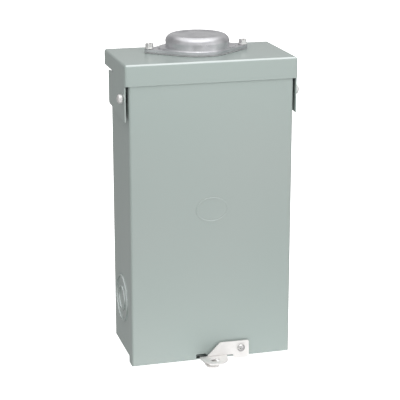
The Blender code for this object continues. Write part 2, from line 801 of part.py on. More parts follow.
# ---- Interior -----------------------------------------------------------------------------------
def interior_pan():
    """The interior's steel pan, a hat section whose feet stand on the back wall."""
    foot = -SHEET - GAP
    path = [
        (-PAN_HALF_WIDTH - 0.0105, foot - SHEET),
        (-PAN_HALF_WIDTH, foot - SHEET),
        (-PAN_HALF_WIDTH, PAN_FACE),
        (PAN_HALF_WIDTH, PAN_FACE),
        (PAN_HALF_WIDTH, foot - SHEET),
        (PAN_HALF_WIDTH + 0.0105, foot - SHEET),
    ]
    holes = [
        cylinder("Y", (side * PAN_SCREW_X, side * PAN_SCREW_Z), 0.0024, -0.006, 0.001, 16)
        for _, side in sides()
    ]
    return node(
        "interior_pan",
        prism(folded(path, SHEET, 0.0018), "Z", PAN_BOTTOM, PAN_TOP),
        galvanised(),
        cuts=(together(*holes),),
    )


def small_screw(name, centre, seat, head, grip):
    """A slotted pan-headed screw along Y. Its head stands forward of the seat."""
    rim = [(0, 0.0026), (0.6 * head, 0.0024), (head, 0.0012), (head, 0)]
    profile = [(r, seat - h) for r, h in rim]
    profile += [(SMALL_SHANK, seat), (SMALL_SHANK, seat + grip), (0, seat + grip)]
    screw = turned(profile, "Y", centre, 14)
    low = [centre[0] - 0.0004, centre[1] - head * 0.7]
    high = [centre[0] + 0.0004, centre[1] + head * 0.7]
    slot = prism(rectangle(low, high), "Y", seat - 0.004, seat - 0.0016)
    return node(name, screw, zinc(), cuts=(slot,))


def pan_screws():
    seat = -2 * SHEET - GAP - 0.0003
    for name, side in sides():
        centre = (side * PAN_SCREW_X, side * PAN_SCREW_Z)
        small_screw(f"pan_screw_{name}", centre, seat, 0.0036, 0.0024)


def bus_insulator():
    """The moulded base that carries the two bus bars."""
    front = -0.0236
    base = prism(rounded(rectangle((-0.0525, 0.0080), (0.0525, 0.1120)), 0.003), "Y", front, PAN_FRONT)
    # A slot at the top clears the upper post of the deadfront.
    slot = block((-0.0075, front - 0.001, 0.0860), (0.0075, PAN_FRONT + 0.001, 0.1140))
    ribs = [
        block((x - 0.002, front - 0.001, 0.0120), (x + 0.002, front + 0.003, 0.0330))
        for x in (-0.0508 + BREAKER_PITCH, 0.0, 0.0508 - BREAKER_PITCH)
    ]
    return node("bus_insulator", base, grey_plastic(), cuts=(slot, together(*ribs)))


def bus_bar(name, level, bar_z, riser_x, slots):
    """One line's bar: a flat bar, a riser to its lug, and a stab for every second breaker."""
    thickness = 0.0030
    front = level - thickness
    bar = prism(rectangle((-0.0500, bar_z), (0.0500, bar_z + 0.0100)), "Y", front, level)
    low, high = (riser_x - 0.0080, bar_z + 0.002), (riser_x + 0.0080, 0.1040)
    riser = prism(rectangle(low, high), "Y", front, level)
    joins = [riser]
    for index in slots:
        x = breaker_x(index)
        drop = prism(rectangle((x - 0.0050, 0.0170), (x + 0.0050, bar_z + 0.002)), "Y", front, level)
        blade = block((x - 0.0012, -0.0500, 0.0185), (x + 0.0012, front + 0.0010, 0.0285))
        joins += [drop, blade]
    return node(name, bar, tin(), joins=joins)


def line_lug(name, x, level):
    """A mechanical lug on its riser: a block with a conductor bore and a set screw."""
    front = level - 0.0030 - GAP
    depth = 0.0190
    low, high = 0.0780, 0.1020
    outline = rounded(rectangle((x - 0.0085, front - depth), (x + 0.0085, front)), 0.002)
    body = prism(outline, "Z", low, high)
    bore = cylinder("Z", (x, front - 0.0090), 0.0058, low - 0.001, high + 0.001, 28)
    thread = cylinder("Y", (x, 0.0900), 0.0040, front - depth - 0.001, front - 0.0100, 24)
    node(name, body, aluminium(), cuts=(bore, thread))
    tip = front - 0.0120
    outer = front - depth - 0.0016
    profile = [(0, tip), (0.0030, tip), (0.0036, tip - 0.0008), (0.0036, outer), (0, outer)]
    socket = prism(circle((x, 0.0900), 0.0020, 6), "Y", outer - 0.001, outer + 0.004)
    node(f"{name}_set_screw", turned(profile, "Y", (x, 0.0900), 24), zinc(), cuts=(socket,))


def terminal_bar(name, x, low, high, back, screws):
    """A square terminal bar with a cross bore and a threaded hole for each wire."""
    half = 0.0048
    front = back - 0.0096
    holes = []
    for i in range(screws):
        z = low + 0.006 + i * (high - low - 0.012) / (screws - 1)
        holes.append(cylinder("Y", (x, z), 0.0021, front - 0.001, front + 0.0040, 8))
        reach = half + 0.001
        holes.append(cylinder("X", (front + 0.0062, z), 0.0020, x - reach, x + reach, 8))
    body = prism(rectangle((x - half, front), (x + half, back)), "Z", low, high)
    return node(name, body, aluminium(), cuts=(together(*holes[0::2]), together(*holes[1::2])))


def neutral_and_ground():
    """The neutral bar on its insulator at the left, and the ground bar on the pan at the right."""
    x = -0.0605
    stand = -0.0300
    body = prism(
        rounded(rectangle((x - 0.0062, -0.0660), (x + 0.0062, 0.0660)), 0.002), "Y", stand, PAN_FRONT
    )
    windows = [
        block((x - 0.01, stand + 0.003, z - 0.006), (x + 0.01, PAN_FRONT - 0.003, z + 0.006))
        for z in (-0.040, 0.0, 0.040)
    ]
    node("neutral_insulator", body, white_plastic(), cuts=(together(*windows),))
    terminal_bar("neutral_bar", x, -0.0620, 0.0620, stand - GAP, 10)
    terminal_bar("ground_bar", -x, -0.1080, -0.0380, PAN_FRONT, 6)


def breaker_rail():
    """A folded strip on the pan whose upturned edge holds the breakers' feet."""
    toe = BREAKER_BACK - 0.0032
    bottom = BREAKER_BOTTOM - 0.0030
    foot = PAN_FRONT
    path = [
        (foot, bottom + 0.0140),
        (foot, bottom),
        (toe, bottom),
        (toe, BREAKER_BOTTOM + 0.0045),
    ]
    outline = folded(path, -SHEET, 0.0018)
    return node("breaker_rail", prism(outline, "X", -0.0535, 0.0535), galvanised())


def deadfront():
    """The inner cover with the breaker window, screwed to two posts."""
    half = BOX_HALF - BOX_LIP - 0.0012
    plate = rounded(rectangle((-half, -0.1550), (half, 0.1030)), 0.003)
    window = rounded(
        rectangle((-0.0512, HANDLE_Z - 0.0228), (0.0512, HANDLE_Z + 0.0228)), 0.0015
    )
    screws = [cylinder("Y", (0, z), 0.0024, -0.09, -0.07, 16) for z in POST_Z]
    front = DEADFRONT_Y - SHEET
    return node(
        "deadfront",
        prism(plate, "Y", front, DEADFRONT_Y),
        enamel(),
        cuts=(prism(window, "Y", front - 0.001, DEADFRONT_Y + 0.001), together(*screws)),
    )


def deadfront_posts():
    """Two folded posts that stand on the pan and carry the deadfront, with its screws."""
    for (name, z), half in zip((("bottom", POST_Z[0]), ("top", POST_Z[1])), (0.0100, 0.0050)):
        face = DEADFRONT_Y + GAP
        path = [
            (-half, PAN_FRONT),
            (-half, face),
            (half, face),
            (half, PAN_FRONT),
        ]
        hole = cylinder("Y", (0, z), 0.0024, face - 0.002, face + 0.004, 16)
        inside = half - 0.0003
        foot = block((-inside, PAN_FRONT - SHEET, z - 0.005), (inside, PAN_FRONT, z + 0.005))
        node(
            f"deadfront_post_{name}",
            prism(folded(path, SHEET, 0.0018), "Z", z - 0.005, z + 0.005),
            galvanised(),
            joins=(foot,),
            cuts=(hole,),
        )
        seat = DEADFRONT_Y - SHEET - 0.0003
        small_screw(f"deadfront_screw_{name}", (0, z), seat, 0.0044, 0.0080)


# ---- Breakers -----------------------------------------------------------------------------------
def breaker_x(index):
    return (index - (BREAKERS - 1) / 2) * BREAKER_PITCH


def breaker_case(name, x):
    """A single-pole case: stepped front, handle well, line slot, foot slot and load recess."""
    half = BREAKER_PITCH / 2 - 0.0003
    outline = [
        (BREAKER_BACK, BREAKER_BOTTOM),
        (BREAKER_SHOULDER + 0.0140, BREAKER_BOTTOM),
        (BREAKER_SHOULDER, BREAKER_BOTTOM + 0.0070),
        (BREAKER_SHOULDER, HANDLE_Z - 0.0220),
        (BREAKER_NOSE, HANDLE_Z - 0.0214),
        (BREAKER_NOSE, HANDLE_Z + 0.0214),
        (BREAKER_SHOULDER, HANDLE_Z + 0.0220),
        (BREAKER_SHOULDER, BREAKER_TOP - 0.0040),
        (BREAKER_SHOULDER + 0.0100, BREAKER_TOP),
        (BREAKER_BACK, BREAKER_TOP),
    ]
    well = arc((HANDLE_Y, HANDLE_Z), HANDLE_RADIUS + 0.0004, -110, 110, 14)
    mouth = BREAKER_NOSE - 0.001
    well += [(mouth, HANDLE_Z + 0.0105), (mouth, HANDLE_Z - 0.0105)]
    line_slot = block((x - 0.0022, -0.0520, 0.0150), (x + 0.0022, BREAKER_BACK + 0.001, 0.0320))
    foot_slot = block(
        (x - 0.02, BREAKER_BACK - 0.0040, BREAKER_BOTTOM - 0.001),
        (x + 0.02, BREAKER_BACK - 0.0016, BREAKER_BOTTOM + 0.0054),
    )
    recess = block(
        (x - 0.0055, BREAKER_SHOULDER - 0.002, BREAKER_BOTTOM - 0.001),
        (x + 0.0055, LOAD_SEAT, BREAKER_BOTTOM + 0.0115),
    )
    low, high = BREAKER_BOTTOM - 0.001, BREAKER_BOTTOM + 0.010
    wire = cylinder("Z", (x, LOAD_SEAT + 0.0060), 0.0035, low, high, 20)
    thread = cylinder("Y", (x, LOAD_Z), 0.0024, LOAD_SEAT - 0.001, LOAD_SEAT + 0.0040, 16)
    return node(
        name,
        prism(outline, "X", x - half, x + half),
        phenolic(),
        cuts=(
            prism(well, "X", x - 0.0048, x + 0.0048),
            together(line_slot, foot_slot),
            recess,
            wire,
            thread,
        ),
    )


def breaker_handle(name, x):
    """A toggle: a round barrel with a tapered lever, thrown up at rest."""
    tip = 0.0150
    lever = [(-tip, -0.0022), (-tip, 0.0022), (-HANDLE_RADIUS * cos(radians(30)), HANDLE_RADIUS * 0.5)]
    barrel = arc((0, 0), HANDLE_RADIUS, 150, -150, 18)[1:-1]
    lever += barrel + [(-HANDLE_RADIUS * cos(radians(30)), -HANDLE_RADIUS * 0.5)]
    tilt = -HANDLE_TILT
    outline = []
    for y, z in lever:
        outline.append(
            (
                HANDLE_Y + y * cos(tilt) - z * sin(tilt),
                HANDLE_Z + y * sin(tilt) + z * cos(tilt),
            )
        )
    return node(
        name,
        prism(outline, "X", x - 0.0044, x + 0.0044),
        phenolic(),
        origin=(x, HANDLE_Y, HANDLE_Z),
    )


def breakers():
    """The row of plug-in breakers, each with its toggle and its load terminal's screw."""
    for index in range(BREAKERS):
        x = breaker_x(index)
        name = f"breaker_{index + 1}"
        breaker_case(f"{name}_case", x)
        breaker_handle(f"{name}_handle", x)
        small_screw(f"{name}_terminal_screw", (x, LOAD_Z), LOAD_SEAT - 0.0003, 0.0042, 0.0030)


# ---- Assembly -----------------------------------------------------------------------------------
def clear_scene():
    for found in list(bpy.data.objects):
        bpy.data.objects.remove(found, do_unlink=True)


def build():
    clear_scene()
    enclosure_wrap()
    bottom_end_wall()
    top_end_wall()
    rain_hood()
    hub_gasket()
    hub_closing_plate()
    hub_screws()
    front_cover()
    pivot_hardware()
    hasp_latch()
    hasp_rivet()
    padlock_staple()
    staple_rivets()
    interior_pan()
    pan_screws()
    bus_insulator()
    bus_bar("bus_bar_a", -0.0240, 0.0360, -0.0220, (0, 2))
    bus_bar("bus_bar_b", -0.0310, 0.0520, 0.0220, (1, 3))
    line_lug("line_lug_a", -0.0220, -0.0240)
    line_lug("line_lug_b", 0.0220, -0.0310)
    neutral_and_ground()
    breaker_rail()
    deadfront()
    deadfront_posts()
    breakers()


build()
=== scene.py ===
from collections import namedtuple
from math import cos, pi, radians, sin

import bmesh
import bpy
from mathutils import Matrix, Vector


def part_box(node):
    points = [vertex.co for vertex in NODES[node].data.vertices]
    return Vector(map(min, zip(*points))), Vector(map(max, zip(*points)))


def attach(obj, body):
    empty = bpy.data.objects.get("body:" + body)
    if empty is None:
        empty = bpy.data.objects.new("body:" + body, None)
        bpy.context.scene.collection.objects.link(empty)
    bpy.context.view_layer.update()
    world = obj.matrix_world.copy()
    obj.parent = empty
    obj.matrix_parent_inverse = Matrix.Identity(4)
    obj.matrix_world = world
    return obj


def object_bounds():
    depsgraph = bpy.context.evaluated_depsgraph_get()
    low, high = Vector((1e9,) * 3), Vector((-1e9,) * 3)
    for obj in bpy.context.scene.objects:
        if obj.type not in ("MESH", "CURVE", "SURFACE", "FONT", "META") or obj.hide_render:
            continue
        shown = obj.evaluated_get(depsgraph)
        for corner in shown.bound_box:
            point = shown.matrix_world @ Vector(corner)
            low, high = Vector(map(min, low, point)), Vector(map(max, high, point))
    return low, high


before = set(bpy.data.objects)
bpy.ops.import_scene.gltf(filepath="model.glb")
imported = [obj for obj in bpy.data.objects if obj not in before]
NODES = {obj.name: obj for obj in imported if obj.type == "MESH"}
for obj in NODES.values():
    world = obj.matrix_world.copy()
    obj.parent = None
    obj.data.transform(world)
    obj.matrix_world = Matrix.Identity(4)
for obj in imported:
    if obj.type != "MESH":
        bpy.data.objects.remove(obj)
cad_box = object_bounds()

# ---- Shader building ----------------------------------------------------------------------------
FLAT_COSINE, EDGE_COSINE = 0.985, 0.78  # between the true and the bevelled normal


class Shader:
    """One Principled material and the nodes that feed it."""

    def __init__(self, name):
        self.made = bpy.data.materials.new(name)
        self.made.use_nodes = True
        self.tree = self.made.node_tree
        self.surface = self.tree.nodes["Principled BSDF"]
        self.place = self.add("TexCoord").outputs["Object"]

    def add(self, kind, inputs=None, **settings):
        made = self.tree.nodes.new("ShaderNode" + kind)
        for key, value in settings.items():
            setattr(made, key, value)
        for key, value in (inputs or {}).items():
            self.give(made.inputs[key], value)
        return made

    def give(self, socket, value):
        if isinstance(value, bpy.types.NodeSocket):
            self.tree.links.new(value, socket)
        else:
            socket.default_value = value

    def noise(self, scale, detail=3.0, roughness=0.55, stretch=None):
        """Noise from 0 to 1 at so many cells a metre."""
        place = self.place
        if stretch:
            place = self.add("Mapping", {"Vector": place, "Scale": stretch}).outputs["Vector"]
        inputs = {"Vector": place, "Scale": scale, "Detail": detail, "Roughness": roughness}
        return self.add("TexNoise", inputs).outputs["Fac"]

    def cells(self, scale):
        """Cells with a random tint each, so many a metre."""
        return self.add("TexVoronoi", {"Vector": self.place, "Scale": scale}).outputs["Color"]

    def ramp(self, value, low, high, out_low=0.0, out_high=1.0):
        inputs = {
            "Value": value,
            "From Min": low,
            "From Max": high,
            "To Min": out_low,
            "To Max": out_high,
        }
        return self.add("MapRange", inputs).outputs["Result"]

    def uneven(self, scale, detail, low, high):
        """A level that wanders between two values, as gloss does."""
        return self.ramp(self.noise(scale, detail), 0.3, 0.7, low, high)

    def maths(self, operation, first, second):
        made = self.add("Math", operation=operation)
        self.give(made.inputs[0], first)
        self.give(made.inputs[1], second)
        return made.outputs["Value"]

    def mix(self, factor, first, second):
        made = self.add("Mix", data_type="RGBA")
        self.give(made.inputs["Factor"], factor)
        self.give(made.inputs["A"], first)
        self.give(made.inputs["B"], second)
        return made.outputs["Result"]

    def edges(self, radius):
        """From 0 on a flat face to 1 at a sharp outer edge."""
        bevel = self.add("Bevel", {"Radius": radius}, samples=4)
        true_normal = self.add("NewGeometry").outputs["Normal"]
        dot = self.add("VectorMath", operation="DOT_PRODUCT")
        self.give(dot.inputs[0], bevel.outputs["Normal"])
        self.give(dot.inputs[1], true_normal)
        return self.ramp(dot.outputs["Value"], FLAT_COSINE, EDGE_COSINE)

    def rubbed(self, colour, radius, share, pale):
        """The colour, turning pale along the sharp outer edges."""
        edge = self.maths("MULTIPLY", self.edges(radius), share)
        return self.mix(edge, colour, pale)

    def bump(self, height, distance, strength):
        inputs = {"Height": height, "Distance": distance, "Strength": strength}
        return self.add("Bump", inputs).outputs["Normal"]

    def set(self, **sockets):
        for key, value in sockets.items():
            self.give(self.surface.inputs[key.replace("_", " ")], value)
        return self.made


def grey(level):
    return (level, level, level, 1.0)


def tone(red, green, blue):
    return (red, green, blue, 1.0)


FINISHES = {}


def finish(maker):
    """Each material is made once, under its maker's name."""

    def once():
        if maker.__name__ not in FINISHES:
            FINISHES[maker.__name__] = maker(Shader(maker.__name__))
        return FINISHES[maker.__name__]

    return once


# ---- Materials ----------------------------------------------------------------------------------

# A painted highlight: paler paint, standing in for caught light, on faces that look one way: none
# where the cosine to that way is low, the full share where it is high, and only behind the Y called
# foremost.
PaintedHighlight = namedtuple("PaintedHighlight", "facing low high share foremost")
IN_FRONT_OF_ALL = -0.2
HIGHLIGHT_FADE = 0.002


def baked_enamel(s, wear_and_highlight=None):
    """Pale grey-green baked enamel: slow tint drift, fine orange peel, thin paint on the bends,
    and, when given, a painted highlight on faces that look one way.
    """
    drift = s.ramp(s.noise(6.0, 1.0), 0.25, 0.75)
    colour = s.mix(drift, tone(0.360, 0.423, 0.401), tone(0.384, 0.434, 0.414))
    edge = s.edges(0.0014)
    thin = s.maths("MULTIPLY", edge, s.ramp(s.noise(160.0, 4.0), 0.30, 0.70, 0.10, 0.40))
    colour = s.mix(thin, colour, tone(0.56, 0.62, 0.60))
    # Painted highlight: the colour turns paler where the face looks the given way, as if lit from
    # there.
    if wear_and_highlight:
        toward = s.add("VectorMath", operation="DOT_PRODUCT")
        s.give(toward.inputs[0], s.add("NewGeometry").outputs["Normal"])
        toward.inputs[1].default_value = wear_and_highlight.facing
        bright = s.ramp(toward.outputs["Value"], wear_and_highlight.low, wear_and_highlight.high)
        bright = s.maths("MULTIPLY", bright, wear_and_highlight.share)
        y = s.add("SeparateXYZ", {"Vector": s.place}).outputs["Y"]
        bright = s.maths("MULTIPLY", bright, s.ramp(y, wear_and_highlight.foremost - HIGHLIGHT_FADE, wear_and_highlight.foremost))
        colour = s.mix(bright, colour, tone(0.90, 0.95, 0.95))
    rough = s.uneven(18.0, 2.0, 0.17, 0.24)
    peel = s.bump(s.noise(330.0, 1.0, 0.4), 0.00002, 0.4)
    return s.set(Base_Color=colour, Roughness=rough, Normal=peel, Specular_IOR_Level=0.42)


@finish
def enamel(s):
    """The enamel with no painted highlight."""
    return baked_enamel(s)


@finish
def hood_enamel(s):
    """The same enamel, with a painted highlight along the hood's upper front bend."""
    return baked_enamel(s, PaintedHighlight((0.0, -0.62, 0.78), 0.80, 0.96, 0.50, IN_FRONT_OF_ALL))


@finish
def cover_enamel(s):
    """The same enamel, with a painted highlight along the upper edge of the raised oval."""
    return baked_enamel(s, PaintedHighlight((0.0, -0.70, 0.71), 0.74, 0.92, 1.0, IN_FRONT_OF_ALL))


@finish
def box_enamel(s):
    """The same enamel, with a painted highlight on the knockout rings' steps that face forward."""
    return baked_enamel(s, PaintedHighlight((-0.20, -0.71, 0.68), 0.50, 0.86, 0.72, -0.080))


@finish
def zinc(s):
    """Bright zinc plate: a faint cloudy bloom and rolling lines."""
    bloom = s.ramp(s.noise(120.0, 5.0), 0.35, 0.70)
    colour = s.mix(bloom, tone(0.87, 0.86, 0.85), tone(0.95, 0.94, 0.93))
    colour = s.rubbed(colour, 0.0006, 0.5, grey(0.97))
    rough = s.uneven(300.0, 4.0, 0.24, 0.36)
    lines = s.bump(s.noise(900.0, 3.0, 0.6, (0.12, 1.0, 1.0)), 0.00002, 0.5)
    return s.set(Base_Color=colour, Metallic=0.8, Roughness=rough, Normal=lines)


@finish
def dull_zinc(s):
    """Zinc plate gone dull outdoors: a pale bloom in patches, fine scuffs from the padlock."""
    bloom = s.ramp(s.noise(90.0, 5.0), 0.35, 0.70)
    colour = s.mix(bloom, tone(0.92, 0.905, 0.89), tone(0.98, 0.965, 0.95))
    scuffs = s.ramp(s.noise(1500.0, 2.0, 0.5, (1.0, 0.12, 0.3)), 0.66, 0.74, 0.0, 0.25)
    colour = s.mix(scuffs, colour, grey(0.70))
    rough = s.uneven(220.0, 4.0, 0.42, 0.54)
    lines = s.bump(s.noise(900.0, 3.0, 0.6, (0.12, 1.0, 1.0)), 0.00002, 0.4)
    return s.set(Base_Color=colour, Metallic=0.5, Roughness=rough, Normal=lines)


@finish
def rivet_zinc(s):
    """The rivet's burnished head, darker than the plate around it."""
    bloom = s.ramp(s.noise(260.0, 4.0), 0.35, 0.70)
    colour = s.mix(bloom, tone(0.70, 0.695, 0.69), tone(0.84, 0.835, 0.83))
    rough = s.uneven(300.0, 3.0, 0.14, 0.22)
    dents = s.bump(s.noise(420.0, 2.0), 0.00004, 0.5)
    return s.set(Base_Color=colour, Metallic=1.0, Roughness=rough, Normal=dents)


@finish
def paint_mark(s):
    """White marking paint, a little thin in places."""
    cover = s.ramp(s.noise(800.0, 3.0), 0.30, 0.60)
    colour = s.mix(cover, tone(0.50, 0.50, 0.49), tone(0.78, 0.78, 0.76))
    rough = s.uneven(500.0, 3.0, 0.50, 0.65)
    return s.set(Base_Color=colour, Roughness=rough)


@finish
def die_cast(s):
    """Tumbled die-cast zinc: satin, slightly mottled, with a fine cast grain."""
    mottle = s.ramp(s.noise(70.0, 5.0), 0.35, 0.68)
    colour = s.mix(mottle, tone(0.65, 0.65, 0.675), tone(0.80, 0.80, 0.82))
    colour = s.rubbed(colour, 0.0010, 0.6, grey(0.92))
    rough = s.uneven(240.0, 4.0, 0.27, 0.40)
    grain = s.bump(s.noise(1400.0, 3.0, 0.6), 0.00003, 0.6)
    return s.set(Base_Color=colour, Metallic=1.0, Roughness=rough, Normal=grain)


@finish
def galvanised(s):
    """Hot-dip galvanised sheet with its spangle."""
    spangle = s.cells(210.0)
    tint = s.ramp(spangle, 0.1, 0.9)
    colour = s.mix(tint, tone(0.50, 0.52, 0.54), tone(0.72, 0.735, 0.75))
    rough = s.ramp(spangle, 0.0, 1.0, 0.30, 0.52)
    normal = s.bump(s.noise(500.0, 3.0), 0.00003, 0.6)
    return s.set(Base_Color=colour, Metallic=1.0, Roughness=rough, Normal=normal)


@finish
def phenolic(s):
    """Black thermoset with a slight moulding texture and paler rubbed edges."""
    cloud = s.ramp(s.noise(90.0, 4.0), 0.35, 0.7)
    colour = s.mix(cloud, tone(0.018, 0.018, 0.019), tone(0.034, 0.033, 0.033))
    colour = s.rubbed(colour, 0.0005, 0.55, grey(0.11))
    rough = s.uneven(400.0, 3.0, 0.34, 0.50)
    normal = s.bump(s.noise(1600.0, 2.0), 0.00004, 0.6)
    return s.set(Base_Color=colour, Roughness=rough, Normal=normal)


@finish
def handle_plastic(s):
    """The toggle's smoother black moulding, polished where fingers push it."""
    cloud = s.ramp(s.noise(200.0, 3.0), 0.35, 0.7)
    colour = s.mix(cloud, grey(0.014), grey(0.024))
    colour = s.rubbed(colour, 0.0005, 0.7, grey(0.14))
    rough = s.uneven(150.0, 3.0, 0.20, 0.34)
    normal = s.bump(s.noise(1300.0, 2.0), 0.00002, 0.5)
    return s.set(Base_Color=colour, Roughness=rough, Normal=normal)


@finish
def white_plastic(s):
    """The neutral bar's off-white insulator."""
    cloud = s.ramp(s.noise(60.0, 3.0), 0.35, 0.7)
    colour = s.mix(cloud, tone(0.66, 0.65, 0.61), tone(0.76, 0.75, 0.72))
    rough = s.uneven(300.0, 3.0, 0.36, 0.50)
    normal = s.bump(s.noise(1200.0, 2.0), 0.00003, 0.5)
    return s.set(Base_Color=colour, Roughness=rough, Normal=normal)


@finish
def grey_plastic(s):
    """Glass-filled polyester: short pale fibres in a grey body."""
    fibre = s.ramp(s.noise(700.0, 3.0, 0.6, (1.0, 0.3, 0.15)), 0.58, 0.72)
    body = s.ramp(s.noise(50.0, 3.0), 0.3, 0.7)
    colour = s.mix(body, tone(0.115, 0.12, 0.13), tone(0.16, 0.165, 0.175))
    colour = s.mix(s.maths("MULTIPLY", fibre, 0.4), colour, grey(0.30))
    rough = s.uneven(260.0, 3.0, 0.42, 0.60)
    normal = s.bump(s.noise(900.0, 2.0), 0.00004, 0.6)
    return s.set(Base_Color=colour, Roughness=rough, Normal=normal)


@finish
def tin(s):
    """Tin-plated copper: soft grey-white, with faint warm rubs at the edges."""
    cloud = s.ramp(s.noise(110.0, 5.0), 0.35, 0.7)
    colour = s.mix(cloud, tone(0.66, 0.655, 0.64), tone(0.80, 0.795, 0.78))
    wear_and_highlight = s.maths("MULTIPLY", s.edges(0.0005), s.ramp(s.noise(220.0, 3.0), 0.45, 0.7, 0.0, 0.8))
    colour = s.mix(wear_and_highlight, colour, tone(0.72, 0.42, 0.26))
    rough = s.uneven(260.0, 4.0, 0.32, 0.50)
    normal = s.bump(s.noise(800.0, 3.0, 0.6, (0.15, 1.0, 1.0)), 0.00003, 0.5)
    return s.set(Base_Color=colour, Metallic=1.0, Roughness=rough, Normal=normal)


@finish
def aluminium(s):
    """Extruded aluminium with die lines along its length."""
    cloud = s.ramp(s.noise(80.0, 4.0), 0.35, 0.7)
    colour = s.mix(cloud, tone(0.70, 0.71, 0.72), tone(0.82, 0.825, 0.83))
    colour = s.rubbed(colour, 0.0005, 0.5, grey(0.93))
    rough = s.uneven(300.0, 4.0, 0.28, 0.44)
    normal = s.bump(s.noise(1100.0, 3.0, 0.6, (1.0, 1.0, 0.05)), 0.00003, 0.6)
    return s.set(Base_Color=colour, Metallic=1.0, Roughness=rough, Normal=normal)


@finish
def rubber(s):
    """Pale grey gasket rubber, matt and finely pitted."""
    cloud = s.ramp(s.noise(150.0, 4.0), 0.35, 0.7)
    colour = s.mix(cloud, tone(0.40, 0.405, 0.41), tone(0.50, 0.505, 0.51))
    rough = s.uneven(400.0, 3.0, 0.62, 0.80)
    normal = s.bump(s.noise(1500.0, 3.0), 0.00005, 0.8)
    return s.set(Base_Color=colour, Roughness=rough, Normal=normal)


@finish
def card(s):
    """Uncoated card with a paper grain and a slight yellowing."""
    cloud = s.ramp(s.noise(22.0, 4.0), 0.35, 0.7)
    colour = s.mix(cloud, tone(0.74, 0.73, 0.68), tone(0.82, 0.81, 0.77))
    flecks = s.ramp(s.noise(1500.0, 2.0), 0.62, 0.74, 0.0, 0.18)
    colour = s.mix(flecks, colour, tone(0.52, 0.50, 0.45))
    rough = s.uneven(300.0, 3.0, 0.72, 0.88)
    normal = s.bump(s.noise(1300.0, 3.0), 0.00004, 0.6)
    return s.set(Base_Color=colour, Roughness=rough, Normal=normal)


@finish
def ink(s):
    """Printing ink, thin in places."""
    cloud = s.ramp(s.noise(900.0, 3.0), 0.35, 0.7)
    colour = s.mix(cloud, tone(0.05, 0.055, 0.06), tone(0.11, 0.115, 0.12))
    rough = s.uneven(500.0, 3.0, 0.55, 0.70)
    return s.set(Base_Color=colour, Roughness=rough)


WHICH = (
    ("enclosure_wrap", box_enamel),
    ("bottom_end_wall", enamel),
    ("top_end_wall", enamel),
    ("rain_hood", hood_enamel),
    ("front_cover", cover_enamel),
    ("deadfront_post", galvanised),
    ("deadfront_screw", zinc),
    ("deadfront", enamel),
    ("hub_gasket", rubber),
    ("hub_closing_plate", die_cast),
    ("interior_pan", galvanised),
    ("breaker_rail", galvanised),
    ("bus_insulator", grey_plastic),
    ("bus_bar", tin),
    ("neutral_insulator", white_plastic),
    ("neutral_bar", aluminium),
    ("ground_bar", aluminium),
    ("pivot_spacer", phenolic),
    ("hasp_latch", dull_zinc),
    ("padlock_staple", dull_zinc),
    ("hasp_rivet", rivet_zinc),
)


def finish_of(name):
    if name.endswith("_case"):
        return phenolic()
    if name.endswith("_handle"):
        return handle_plastic()
    if name.startswith("line_lug") and not name.endswith("screw"):
        return aluminium()
    for start, maker in WHICH:
        if name.startswith(start):
            return maker()
    return zinc()


# ---- Carried-over CAD pieces --------------------------------------------------------------------
WELD = 0.00002
SHARP = radians(35)  # faces that meet at less than this look like one smooth surface
FLAT = radians(0.6)  # faces that meet at less than this are one face
SOFT_EDGES = {
    "hub_closing_plate": 0.0007,
    "hasp_latch": 0.0003,
    "padlock_staple": 0.0003,
    "front_cover": 0.0003,
    "rain_hood": 0.0003,
    "enclosure_wrap": 0.00015,
}
USUAL_EDGE = 0.00025


def soften(node, width):
    """Rounds the sharp edges a little, so that they catch the light."""
    for face in node.data.polygons:
        face.use_smooth = True
    weld = node.modifiers.new("weld", "WELD")
    weld.merge_threshold = WELD
    flat = node.modifiers.new("flat", "DECIMATE")
    flat.decimate_type = "DISSOLVE"
    flat.angle_limit = FLAT
    bevel = node.modifiers.new("bevel", "BEVEL")
    bevel.width = width
    bevel.segments = 2
    bevel.limit_method = "ANGLE"
    bevel.angle_limit = SHARP
    bevel.use_clamp_overlap = True
    normals = node.modifiers.new("normals", "WEIGHTED_NORMAL")
    normals.keep_sharp = False
    normals.weight = 60


for name, node in sorted(NODES.items()):
    node.data.materials.clear()
    node.data.materials.append(finish_of(name))
    soften(node, SOFT_EDGES.get(name, USUAL_EDGE))

# ---- Building pieces ----------------------------------------------------------------------------


def piece(name, mesh, material, body):
    """A finished piece that rides on a body. Its mesh is in the row frame."""
    bmesh.ops.recalc_face_normals(mesh, faces=mesh.faces)
    data = bpy.data.meshes.new(name)
    mesh.to_mesh(data)
    mesh.free()
    data.materials.append(material)
    made = bpy.data.objects.new(name, data)
    bpy.context.scene.collection.objects.link(made)
    data.shade_smooth()
    data.set_sharp_from_angle(angle=SHARP)
    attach(made, body)
    return made


def rounded(made, width):
    """Rounds every sharp edge of a piece."""
    bevel = made.modifiers.new("bevel", "BEVEL")
    bevel.width = width
    bevel.segments = 3
    bevel.limit_method = "ANGLE"


# Where a point goes that lies at u, v across an axis and at h along it
PLACE = {
    "Y": lambda u, v, h: (u, h, v),
    "Z": lambda u, v, h: (u, v, h),
}


def ring_points(centre, radius, steps):
    angles = [2 * pi * i / steps for i in range(steps)]
    return [(centre[0] + radius * cos(a), centre[1] + radius * sin(a)) for a in angles]


def lathe(mesh, profile, axis, centre, steps):
    """Adds a solid turned about an axis, from its (radius, height) profile."""
    place = PLACE[axis]
    rings = []
    for radius, height in profile:
        if radius == 0:
            rings.append([mesh.verts.new(place(centre[0], centre[1], height))])
        else:
            points = ring_points(centre, radius, steps)
            rings.append([mesh.verts.new(place(u, v, height)) for u, v in points])
    for lower, upper in zip(rings, rings[1:]):
        for i in range(steps):
            j = (i + 1) % steps
            corners = [lower[i % len(lower)], lower[j % len(lower)]]
            corners += [upper[j % len(upper)], upper[i % len(upper)]]
            mesh.faces.new(list(dict.fromkeys(corners)))


